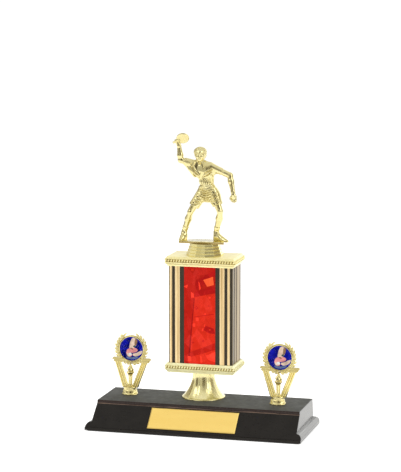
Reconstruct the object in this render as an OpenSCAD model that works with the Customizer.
// Sports trophy: weighted plinth, riser cone, boxed column with foil panels,
// table tennis player on top, and two laurel holders with domed centre discs.
// Millimetres, +Z up, front towards -Y, origin at the middle of the footprint.

/* [Plinth] */
// Width of the flat deck on top of the plinth, left to right
deck_w = 215.9; // [200:0.1:240]
// Depth of the flat deck, front to back
deck_d = 62.5; // [58:0.5:75]
// Height of the plinth, felt included
base_h = 28.2; // [26:0.1:34]
// Upright band under the front edge of the deck
land_h = 3; // [2:0.5:4]
// Horizontal run of the sloping front face
front_run = 23.5; // [20:0.5:28]
// Height of the upright foot under the mouldings, felt included
foot_h = 3.8; // [3.4:0.1:5]
// Radius of the quarter-round moulding along both ends
end_toe_r = 5.5; // [4:0.1:7]
// Radius of the quarter-round moulding along the back
back_toe_r = 5; // [4:0.1:7]
// Wall of the moulded plinth shell
base_wall = 2.8; // [2.2:0.1:3.4]
// Thickness of the felt underneath
felt_t = 1; // [0.6:0.1:1.4]

/* [Engraving plate] */
// Plate width
plate_w = 93; // [70:1:110]
// Plate height, along the slope
plate_h = 26; // [20:0.5:27]
// Plate thickness
plate_t = 0.9; // [0.6:0.1:1.2]
// Plate centre, left or right of the plinth centre
plate_x = -1.4; // [-10:0.1:10]

/* [Tie rod] */
// Column centre, left or right of the plinth centre
rod_x = -3; // [-20:0.5:20]
// Column centre behind the middle of the deck
rod_back = 10; // [0:0.5:10]
// Thread diameter of the tie rod
rod_d = 6; // [5:0.5:6]

/* [Riser cone] */
// Height of the cone
cone_h = 28.8; // [26:0.1:40]
// Radius at the bottom rim
cone_foot_r = 22.6; // [21:0.1:24]
// Radius at the neck
cone_neck_r = 11.4; // [10:0.1:13]
// How far the cone sits left of the rod, within the play of its hole
cone_left = 1.3; // [0:0.1:1.4]

/* [Column] */
// Tube width
tube_w = 68.1; // [60:0.1:76]
// Tube depth
tube_d = 37; // [30:0.1:40]
// Tube length that shows between the caps
tube_show = 102.1; // [60:0.1:220]
// Tube wall
tube_wall = 1.8; // [1.2:0.1:2.5]
// Height of each cap
cap_h = 10; // [9:0.1:12]
// Pitch of the beads around the caps
bead_pitch = 2.86; // [2.6:0.02:3.4]
// Width of the red foil panel
panel_w = 33.4; // [24:0.1:34]
// How far the foil pattern sits off the middle of the tube
panel_shift = -0.6; // [-1:0.1:1]

/* [Pedestal and figure] */
// Height of the twelve-sided pedestal
pedestal_h = 12.8; // [9:0.1:14]
// Width over the bottom tier of the pedestal
pedestal_w = 37.2; // [30:0.1:38]
// Thickness of the plate the player stands on
stand_t = 2.4; // [2:0.1:3]
// Length of the plate's straight front edge
stand_w = 48.4; // [44:0.1:54]
// Depth of the plate from that edge to the middle of the arc
stand_d = 20; // [18:0.5:23]

/* [Laurel holders] */
// Distance of each holder from the middle of the plinth
trim_x = 80.5; // [70:0.5:84]
// How far the left holder is screwed behind the middle of the deck
left_back = 2; // [-8:0.5:8]
// How far the right holder is screwed behind the middle of the deck
right_back = -3; // [-8:0.5:8]
// Diameter of the centre disc
disc_d = 25; // [24:0.1:25.4]
// Height of the disc centre above the deck
disc_z = 49.1; // [46:0.1:52]
// Outer radius of the laurel wreath
wreath_r = 18; // [17.5:0.1:20]
// Leaf pairs along each branch
leaf_rows = 10; // [7:1:12]

/* [Hidden] */
$fn = 64;
eps = 0.01;
fit = 0.2;            // play between parts that slide together

gloss_black = "#1c1815";
pale_gold = "#e6cf92";
foil_red = "#d2301f";
plaster = "#cfcabd";
steel = "#a9acb0";
felt_black = "#151515";
disc_blue = "#12248a";
clear_resin = "#dfe8ee";

// plinth
wall_lean = 0.5;      // the upright faces lean out this much on the way down
end_lean = 1;
front_ledge = 1;
slope_drop = base_h - land_h - foot_h;
slope_a = atan2(slope_drop, front_run);
base_w = deck_w + 2 * (end_lean + end_toe_r);
base_d = deck_d + front_run + front_ledge + wall_lean + back_toe_r;
front_y = -base_d / 2;
deck_front = front_y + front_ledge + front_run;
deck_back = deck_front + deck_d;
deck_y = deck_front + deck_d / 2;
cavity_top = base_h - base_wall;
felt_inset = 1.5;
weight_play = 0.3;

// holes and hardware under the plinth
rod_y = deck_y + rod_back;
rod_hole = rod_d + 0.6;
rod_recess_d = 24;
screw_recess_d = 15;
recess_top = 11.5;
washer_t = 1.6;
nut_h = 5;
nut_af = 10;          // across the flats
screw_d = 5;
screw_in_foot = 7;    // thread length inside a laurel holder

// where a laurel holder and its screw stand on the deck
function trim_at(side) = [side * trim_x, deck_y + (side < 0 ? left_back : right_back), 0];

// column levels
cone_z = base_h;
low_cap_z = cone_z + cone_h;
tube_show_z = low_cap_z + cap_h;
high_cap_z = tube_show_z + tube_show;
column_top = high_cap_z + cap_h;
socket = 6;           // tube length hidden in each cap
tube_corner = 1.2;
cap_over = 1.9;       // flat end of a cap past the tube, each side
bead_r = 1.35;
bead_out = 3.05;      // centre line of the beads past the tube
bead_z = 4.6;         // their height above the tube end of a cap
foil_t = 0.25;

// figure levels
pedestal_z = column_top;
stand_z = pedestal_z + pedestal_h;
stand_mid = rod_x - 1.3;
sole_z = stand_z + stand_t;
insert_d = 9;
insert_h = 6;
rod_top = pedestal_z + insert_h + 1;

// ---------- plinth ----------

// End view: upright ends over quarter-round toes
module plinth_end_view() {
  half = deck_w / 2;
  polygon([[-half, base_h], [half, base_h], [half + end_lean, foot_h],
           [base_w / 2, foot_h], [base_w / 2, felt_t], [-base_w / 2, felt_t],
           [-base_w / 2, foot_h], [-half - end_lean, foot_h]]);
  for (side = [-1, 1])
    intersection() {
      translate([side * (half + end_lean), foot_h]) circle(r = end_toe_r);
      translate([side * (half + end_toe_r / 2), foot_h + end_toe_r / 2 - 0.5])
        square([2 * end_toe_r, end_toe_r + 1], center = true);
    }
}

// Side view: sloping front, upright back over a quarter-round toe
module plinth_side_view() {
  back_foot = deck_back + wall_lean;
  polygon([[deck_front, base_h], [deck_front, base_h - land_h],
           [front_y + front_ledge, foot_h], [front_y, foot_h],
           [front_y, felt_t], [base_d / 2, felt_t], [base_d / 2, foot_h],
           [back_foot, foot_h], [deck_back, base_h]]);
  intersection() {
    translate([back_foot, foot_h]) circle(r = back_toe_r);
    translate([deck_back - 1, foot_h - 1]) square([back_toe_r + 3, back_toe_r + 2]);
  }
}

module cavity(play) {
  low_front = front_y + front_ledge + base_wall / sin(slope_a) + play;
  high_front = low_front + (cavity_top - foot_h) / tan(slope_a);
  half = deck_w / 2 - base_wall - play;
  rotate([90, 0, 90])
    linear_extrude(height = 2 * half, center = true)
      polygon([[low_front, felt_t], [low_front, foot_h], [high_front, cavity_top],
               [deck_back - base_wall - play, cavity_top],
               [deck_back - base_wall - play, felt_t]]);
}

module deck_holes(rod_hole_d, screw_hole_d) {
  translate([rod_x, rod_y, 0]) cylinder(d = rod_hole_d, h = base_h + 1);
  for (side = [-1, 1])
    translate(trim_at(side)) cylinder(d = screw_hole_d, h = base_h + 1);
}

module base_shell() color(gloss_black) difference() {
  intersection() {
    rotate([90, 0, 0])
      linear_extrude(height = base_d, center = true) plinth_end_view();
    rotate([90, 0, 90])
      linear_extrude(height = base_w, center = true) plinth_side_view();
  }
  translate([0, 0, -eps]) cavity(0);
  deck_holes(rod_hole, screw_d + 0.5);
}

module base_weight() color(plaster) difference() {
  cavity(weight_play);
  deck_holes(rod_hole, screw_d + 0.5);
  translate([rod_x, rod_y, 0]) cylinder(d = rod_recess_d, h = recess_top);
  for (side = [-1, 1])
    translate(trim_at(side)) cylinder(d = screw_recess_d, h = recess_top);
}

module base_felt() color(felt_black)
  translate([felt_inset - base_w / 2, felt_inset - base_d / 2, 0])
    cube([base_w - 2 * felt_inset, base_d - 2 * felt_inset, felt_t]);

// ---------- engraving plate on the slope ----------

// Places its children on the sloping face, z pointing out of it
module on_slope() {
  mid_run = front_run / 2;
  translate([plate_x, front_y + front_ledge + mid_run, foot_h + slope_drop / 2])
    rotate([slope_a, 0, 0])
      children();
}

module bevelled(w, h, t, bevel) intersection() {
  rotate([90, 0, 0])
    linear_extrude(height = h, center = true)
      polygon([[-w / 2, 0], [w / 2, 0], [w / 2, t - bevel], [w / 2 - 2 * bevel, t],
               [2 * bevel - w / 2, t], [-w / 2, t - bevel]]);
  rotate([90, 0, 90])
    linear_extrude(height = w, center = true)
      polygon([[-h / 2, 0], [h / 2, 0], [h / 2, t - bevel], [h / 2 - 2 * bevel, t],
               [2 * bevel - h / 2, t], [-h / 2, t - bevel]]);
}

tape_t = 0.4;

module engraving_plate() color(pale_gold)
  on_slope() translate([0, 0, tape_t]) bevelled(plate_w, plate_h, plate_t, 0.5);

module plate_tape() color(felt_black)
  on_slope() translate([2 - plate_w / 2, 2 - plate_h / 2, 0])
    cube([plate_w - 4, plate_h - 4, tape_t]);

// ---------- tie rod ----------

module hexagon(af, h) intersection_for(turn = [0, 60, 120])
  rotate(turn) translate([-af, -af / 2, 0]) cube([2 * af, af, h]);

module tie_rod() color(steel)
  translate([rod_x, rod_y, 3]) cylinder(d = rod_d, h = rod_top - 3);

module tie_rod_nut() color(steel)
  translate([rod_x, rod_y, recess_top - washer_t - nut_h]) difference() {
    hexagon(nut_af, nut_h);
    translate([0, 0, -1]) cylinder(d = rod_d, h = nut_h + 2);
  }

module tie_rod_washer() color(steel)
  translate([rod_x, rod_y, recess_top - washer_t]) difference() {
    cylinder(d = 18, h = washer_t);
    translate([0, 0, -1]) cylinder(d = rod_d + 0.4, h = washer_t + 2);
  }

// ---------- riser cone ----------

cone_lip = 1.5;
cone_wall = 2;
cone_hole = rod_hole + 3;  // wide enough to shift the cone a little

// Half section of the flare: an arc that meets the neck upright
module cone_section(shrink) {
  arc_z = cone_h - 2.3;
  run = cone_foot_r - 0.6 - cone_neck_r;
  arc_r = (run * run + pow(arc_z - cone_lip, 2)) / (2 * run);
  difference() {
    square([cone_foot_r - 0.6 - shrink, cone_h]);
    translate([cone_neck_r + arc_r, arc_z]) circle(r = arc_r + shrink, $fn = 200);
    translate([cone_neck_r - shrink, arc_z]) square([cone_foot_r, cone_h]);
  }
}

module riser_cone() color(pale_gold) translate([rod_x - cone_left, rod_y, cone_z])
  difference() {
    union() {
      rotate_extrude($fn = 96) cone_section(0);
      cylinder(r = cone_foot_r, h = cone_lip);
    }
    difference() {
      translate([0, 0, -eps]) rotate_extrude($fn = 96) cone_section(cone_wall);
      translate([-cone_foot_r, -cone_foot_r, cone_h - 3])
        cube([2 * cone_foot_r, 2 * cone_foot_r, 4]);
    }
    translate([0, 0, cone_h - 4]) cylinder(d = cone_hole, h = 5);
  }

// ---------- column ----------

module rounded(w, d, r) {
  square([w - 2 * r, d], center = true);
  square([w, d - 2 * r], center = true);
  for (a = [-1, 1], b = [-1, 1])
    translate([a * (w / 2 - r), b * (d / 2 - r)]) circle(r = r, $fn = 32);
}

// Half of a cap's outline, tube end at 0 and flat end at cap_h, grown from "half"
function cap_edge(half) = [
  [half + 0.5, 0], [half + 1, 1], [half + bead_out, bead_z - 1.3],
  [half + bead_out, bead_z + 1.3], [half + 1.3, bead_z + 2.1],
  [half + cap_over - 0.5, cap_h - 2.2], [half + cap_over, cap_h - 1.7],
  [half + cap_over, cap_h - 0.4], [half + cap_over - 0.4, cap_h]
];

module cap_view(half) for (side = [0, 1])
  mirror([side, 0])
    polygon(concat([[0, 0]], cap_edge(half), [[0, cap_h]]));

module bead_row(length, off) {
  count = round(length / bead_pitch);
  step = length / count;
  for (side = [-1, 1], k = [0 : count])
    translate([(k - count / 2) * step, side * off, bead_z]) sphere(r = bead_r, $fn = 24);
}

// Cap with its tube end at z = 0; the tube stands in a slot around a central plug
module cap() difference() {
  union() {
    intersection() {
      rotate([90, 0, 0])
        linear_extrude(height = tube_d + 10, center = true) cap_view(tube_w / 2);
      rotate([90, 0, 90])
        linear_extrude(height = tube_w + 10, center = true) cap_view(tube_d / 2);
    }
    bead_row(tube_w + 2 * bead_out, tube_d / 2 + bead_out);
    rotate(90) bead_row(tube_d + 2 * bead_out - 2 * bead_pitch, tube_w / 2 + bead_out);
  }
  translate([0, 0, -eps])
    linear_extrude(height = socket + eps) difference() {
      rounded(tube_w + 2 * fit, tube_d + 2 * fit, tube_corner);
      square([tube_w - 2 * tube_wall - 2 * fit, tube_d - 2 * tube_wall - 2 * fit],
             center = true);
    }
  translate([0, 0, -1]) cylinder(d = rod_hole, h = cap_h + 2);
}

module column_bottom_cap() color(pale_gold)
  translate([rod_x, rod_y, low_cap_z + cap_h]) mirror([0, 0, 1]) cap();

module column_top_cap() color(pale_gold)
  translate([rod_x, rod_y, high_cap_z]) cap();

module column_tube() color(gloss_black)
  translate([rod_x, rod_y, tube_show_z - socket])
    linear_extrude(height = tube_show + 2 * socket) difference() {
      rounded(tube_w, tube_d, tube_corner);
      square([tube_w - 2 * tube_wall, tube_d - 2 * tube_wall], center = true);
    }

// Flat foil strip on the front (side = -1) or back (side = 1) of the tube
module face_strip(x, w, side) {
  y = side < 0 ? -tube_d / 2 - foil_t : tube_d / 2;
  translate([rod_x + panel_shift + x - w / 2, rod_y + y, tube_show_z])
    cube([w, foil_t, tube_show]);
}

module red_panel_front() color(foil_red) face_strip(0, panel_w, -1);

module red_panel_back() color(foil_red) face_strip(0, panel_w, 1);

// Gold lines either side of the panels and along both narrow sides
wide_line = 5.1;
thin_line = 2.6;
side_lines = [[-15.2, 2.6], [-6.2, 4.6], [7, 15.6]];  // [middle, width]

module gold_stripes() color(pale_gold) {
  for (face = [-1, 1], side = [-1, 1]) {
    face_strip(side * (panel_w / 2 + 7.2), wide_line, face);
    face_strip(side * (panel_w / 2 + 14.2), thin_line, face);
  }
  for (side = [-1, 1], line = side_lines)
    translate([rod_x + side * (tube_w + foil_t) / 2, rod_y + line[0],
               tube_show_z + tube_show / 2])
      cube([foil_t, line[1], tube_show], center = true);
}

// ---------- pedestal ----------

// Twelve flat sides, "w1" across at the bottom and "w2" at the top
module flared(w1, w2, h) intersection_for(turn = [0 : 30 : 150])
  rotate(turn) rotate([90, 0, 0])
    linear_extrude(height = 2 * w1, center = true)
      polygon([[-w1 / 2, 0], [w1 / 2, 0], [w2 / 2, h], [-w2 / 2, h]]);

tier_low = 2.7;
tier_mid = 5.2;
tier_high = pedestal_h - tier_low - tier_mid;
overlap = 0.3;        // how far each tier reaches down into the one below

module figure_pedestal() color(pale_gold) translate([rod_x, rod_y, pedestal_z])
  difference() {
    union() {
      flared(pedestal_w, pedestal_w - 0.9, tier_low);
      translate([0, 0, tier_low - overlap])
        flared(pedestal_w - 2.6, pedestal_w - 5.2, tier_mid + overlap);
      translate([0, 0, tier_low + tier_mid - overlap])
        flared(pedestal_w - 6.2, pedestal_w - 7.8, tier_high + overlap);
    }
    translate([0, 0, -1]) cylinder(d = insert_d, h = insert_h + 2);
  }

module figure_nut() color(steel) translate([rod_x, rod_y, pedestal_z + eps])
  difference() {
    cylinder(d = insert_d, h = insert_h);
    translate([0, 0, -1]) cylinder(d = rod_d, h = insert_h + 2);
  }

// ---------- player ----------

fig_y = rod_y;
fig_x = rod_x + 3;

// Point on the figure: across, towards the back, height above the soles
function fp(x, y, z) = [fig_x + x, fig_y + y, sole_z + z];

module ball(p, r) translate(p) sphere(r = r, $fn = 20);

// Tapered limb from p to q
module limb(p, rp, q, rq) hull() {
  ball(p, rp);
  ball(q, rq);
}

// Egg: a ball with its own width, depth and height
module egg(p, size) translate(p) scale(size / 10) sphere(r = 5, $fn = 24);

module stand_plate() translate([stand_mid, rod_y, stand_z]) {
  arc_r = (pow(stand_w / 2, 2) + stand_d * stand_d) / (2 * stand_d);
  intersection() {
    translate([0, stand_d / 2 - arc_r, 0]) cylinder(r = arc_r, h = stand_t, $fn = 96);
    translate([-stand_w, -stand_d / 2, -1]) cube([2 * stand_w, stand_d, stand_t + 2]);
  }
}

module shoe(heel, toe) hull() {
  ball(heel + [0, 0, 2], 2.4);
  ball(toe + [0, 0, 1.4], 1.9);
  ball((heel + toe) / 2 + [0, 0, 2.3], 2.5);
}

hip_r = fp(-5.4, 0, 50.8);
hip_l = fp(5, 0, 50.8);
knee_r = fp(-18.8, -3, 30.5);
knee_l = fp(13.8, -3, 31.4);
ankle_r = fp(-24.9, 1, 8.6);
ankle_l = fp(9.9, 1, 9.4);
shoulder_r = fp(-13, 0, 79.8);
shoulder_l = fp(3.4, 0, 77.8);
elbow_r = fp(-29, -1, 83.8);
elbow_l = fp(23, 0, 69.2);
wrist_r = fp(-31, -2, 98);
wrist_l = fp(27, -4, 50.7);
hand_r = fp(-32.4, -2.4, 101.8);
hand_l = fp(28.2, -4.6, 44.8);
bat_mid = fp(-26.3, -4, 106);
head_mid = fp(-8.1, -1, 89.4);

module legs() {
  for (leg = [[hip_r, knee_r, ankle_r, -1], [hip_l, knee_l, ankle_l, 1]]) {
    limb(leg[0], 5.6, leg[1], 3);
    limb(leg[1], 3, (leg[1] * 2 + leg[2]) / 3 + [0, 1, 0], 3.4);
    limb((leg[1] * 2 + leg[2]) / 3 + [0, 1, 0], 3.4, leg[2], 2.1);
    limb(leg[2], 2.2, leg[2] - [0, 0, 5], 2.5);
  }
  shoe(fp(-24.3, 2, 0), fp(-27.4, -6, 0));
  shoe(fp(8.4, 2, 0), fp(18, -5, 0));
}

module shorts() {
  hull() {
    egg(fp(-0.2, 0, 55.8), [19, 12, 9]);
    egg(fp(-5, 0, 48.8), [13, 12.5, 10]);
    egg(fp(5, 0, 48.8), [13, 12.5, 10]);
  }
  limb(hip_r, 6.2, fp(-12.5, -1.5, 39.8), 6);
  limb(hip_l, 6.2, fp(9.5, -1.5, 40.4), 6);
}

module shirt() {
  hull() {
    egg(fp(-0.8, 0, 59.8), [17.5, 12, 8]);
    egg(fp(-4.4, 0, 73.8), [22, 13.5, 14]);
  }
  hull() {
    egg(fp(-4.4, 0, 73.8), [22, 13.5, 14]);
    ball(shoulder_r, 3.8);
    ball(shoulder_l, 3.8);
    ball(fp(-7.6, 0.4, 82.3), 3.4);
  }
  limb(shoulder_r, 4.2, (shoulder_r + elbow_r * 2) / 3, 3.9);
  limb(shoulder_l, 4.2, (shoulder_l + elbow_l) / 2, 4.1);
}

module arms() {
  for (arm = [[shoulder_r, elbow_r, wrist_r, hand_r], [shoulder_l, elbow_l, wrist_l, hand_l]]) {
    limb(arm[0], 3.3, arm[1], 2.9);
    limb(arm[1], 2.9, arm[2], 2.1);
    limb(arm[2], 2.1, arm[3], 2.3);
  }
  limb(hand_l, 2.1, fp(28.6, -5, 41.2), 1.1);
}

module head() {
  limb(fp(-7.8, 0, 79.8), 3, fp(-8.1, -0.4, 85.8), 2.7);
  egg(head_mid, [10.6, 12, 14]);
  egg(head_mid + [0, 1.2, 2.6], [13.4, 13.4, 10.6]);
  limb(head_mid + [0, -5.6, 0.4], 0.6, head_mid + [0, -6.6, -1.4], 0.9);
}

// Round blade with its handle running into the raised hand
module bat() {
  reach = hand_r - bat_mid;
  rise = asin(reach[2] / norm(reach));
  translate(bat_mid) rotate([58, -rise, atan2(reach[1], reach[0])]) {
    translate([0, 0, -0.9]) cylinder(r = 6.3, h = 1.8, $fn = 32);
    translate([4, -1.2, -1]) cube([norm(reach) - 2, 2.4, 2]);
  }
}

module figure() color(pale_gold) {
  stand_plate();
  legs();
  shorts();
  shirt();
  arms();
  head();
  bat();
}

// ---------- laurel holders ----------

frame_t = 5;          // depth of the holder, front to back
rim_r = disc_d / 2 + 1.2;
pocket = 2.2;         // depth of the disc pocket behind the rim's front edge
disc_t = 0.6;
dome_h = 1.6;

// Pointed leaf, stem at the origin, tip along +X
module leaf(length, width) {
  arc_r = (length * length + width * width) / (4 * width);
  intersection() {
    translate([length / 2, arc_r - width / 2]) circle(r = arc_r);
    translate([length / 2, width / 2 - arc_r]) circle(r = arc_r);
  }
}

// One branch: leaves in pairs from the bottom of the ring to its open top
module branch() {
  start = -84;
  stop = 62;
  mid_r = (rim_r + wreath_r) / 2 - 0.4;
  for (k = [0 : leaf_rows - 1])
    rotate(start + (stop - start) * k / (leaf_rows - 0.2)) translate([mid_r, 0]) {
      rotate(114) leaf(5.6, 2.8);
      rotate(66) leaf(5.6, 2.8);
    }
  rotate(stop - 12) translate([mid_r + 0.4, 0]) rotate(92) leaf(7.4, 2.8);
}

// Everything that is cut from one flat thickness: wreath ring and leaves
module wreath_outline() {
  circle(r = rim_r + 0.8);
  branch();
  mirror([1, 0]) branch();
}

// Lyre below the wreath: two leaning posts, each under a capital of two slabs
post_low = [5.4, 7.2];
post_high = [13.9, 36];
post_w = 5.2;
post_tilt = atan2(post_high[0] - post_low[0], post_high[1] - post_low[1]);
post_run = norm(post_high - post_low);

module lyre_outline() for (side = [0, 1]) mirror([side, 0]) {
  translate(post_low) rotate(-post_tilt) translate([-post_w / 2, 0])
    square([post_w, post_run]);
  translate([9.8, 37]) square([11, 2.2]);
  translate([10.2, 34.6]) square([9.2, 2.6]);
}

module ribs() for (side = [0, 1]) mirror([side, 0, 0])
  translate([post_low[0], 0, post_low[1]]) rotate([0, post_tilt, 0])
    for (rib = [-1, 0, 1])
      translate([rib * 1.6, -1.3, 0.4]) cylinder(r = 0.9, h = post_run - 1.2, $fn = 24);

// Flat step with its corners cut off, w wide and d deep
module step(w, d, corner, low, high) translate([0, 0, low])
  linear_extrude(height = high - low)
    polygon([[corner - w / 2, -d / 2], [w / 2 - corner, -d / 2], [w / 2, corner - d / 2],
             [w / 2, d / 2 - corner], [w / 2 - corner, d / 2], [corner - w / 2, d / 2],
             [-w / 2, d / 2 - corner], [-w / 2, corner - d / 2]]);

module foot() {
  step(17.4, 13, 4, 0, 1.6);
  step(15.4, 11, 3.4, 1.5, 6);
  step(14.4, 10, 3, 5.9, 7.2);
  step(17, 8.6, 2.4, 7.1, 8.3);
}

// Torch and flame in one half section
module torch_section() polygon([
  [0, 8], [4.2, 8], [4.6, 9.4], [2.4, 9.8], [1.9, 12], [2.2, 20.4], [3.2, 20.8], [4, 23.6],
  [4, 24.4], [2.4, 24.6], [3.1, 26.4], [2.9, 28], [1.8, 30.6], [0, 33.6]
]);

// Lays a flat outline upright, "thick" deep, its front face at y = front
module upright(front, thick)
  translate([0, front + thick, 0]) rotate([90, 0, 0]) linear_extrude(height = thick)
    children();

module trim_frame(side) translate(trim_at(side) + [0, 0, base_h]) difference() {
  union() {
    foot();
    rotate_extrude() torch_section();
    upright(-1.3, 2.4) lyre_outline();
    ribs();
    upright(-2.1, 2.9) translate([0, disc_z]) wreath_outline();
    upright(-frame_t / 2, frame_t) translate([0, disc_z]) circle(r = rim_r);
  }
  translate([0, -frame_t / 2 + pocket, disc_z])
    rotate([90, 0, 0]) cylinder(d = disc_d + 2 * fit, h = frame_t);
  translate([0, 0, -1]) cylinder(d = screw_d, h = screw_in_foot + 1);
}

module disc(side) translate(trim_at(side) + [0, pocket - frame_t / 2, base_h + disc_z])
  rotate([90, 0, 0]) cylinder(d = disc_d, h = disc_t);

module dome(side) {
  rim = disc_d / 2 - 0.2;
  ball_r = (rim * rim + dome_h * dome_h) / (2 * dome_h);
  translate(trim_at(side) + [0, pocket - frame_t / 2 - disc_t, base_h + disc_z])
    rotate([90, 0, 0]) rotate_extrude($fn = 96) intersection() {
      translate([0, dome_h - ball_r]) circle(r = ball_r, $fn = 480);
      square([rim, dome_h + 1]);
    }
}

module trim_screw(side) translate(trim_at(side)) {
  seat = recess_top - 1.2;
  translate([0, 0, seat]) cylinder(d = screw_d, h = base_h + screw_in_foot - 0.5 - seat);
  difference() {
    translate([0, 0, seat - 3.4]) cylinder(d = 9.4, h = 3.4 + eps);
    for (turn = [0, 90])
      rotate(turn) translate([-2.6, -0.6, seat - 4]) cube([5.2, 1.2, 2.4]);
  }
}

module trim_washer(side) translate(trim_at(side) + [0, 0, recess_top - 1.2])
  difference() {
    cylinder(d = 12, h = 1.2);
    translate([0, 0, -1]) cylinder(d = screw_d + 0.4, h = 4);
  }

module trim_frame_left() color(pale_gold) trim_frame(-1);
module trim_frame_right() color(pale_gold) trim_frame(1);
module disc_left() color(disc_blue) disc(-1);
module disc_right() color(disc_blue) disc(1);
module dome_left() color(clear_resin) dome(-1);
module dome_right() color(clear_resin) dome(1);
module trim_screw_left() color(steel) trim_screw(-1);
module trim_screw_right() color(steel) trim_screw(1);
module trim_washer_left() color(steel) trim_washer(-1);
module trim_washer_right() color(steel) trim_washer(1);

base_shell();
base_weight();
base_felt();
engraving_plate();
plate_tape();
tie_rod();
tie_rod_nut();
tie_rod_washer();
riser_cone();
column_bottom_cap();
column_tube();
column_top_cap();
red_panel_front();
red_panel_back();
gold_stripes();
figure_pedestal();
figure_nut();
figure();
trim_frame_left();
trim_frame_right();
disc_left();
disc_right();
dome_left();
dome_right();
trim_screw_left();
trim_screw_right();
trim_washer_left();
trim_washer_right();
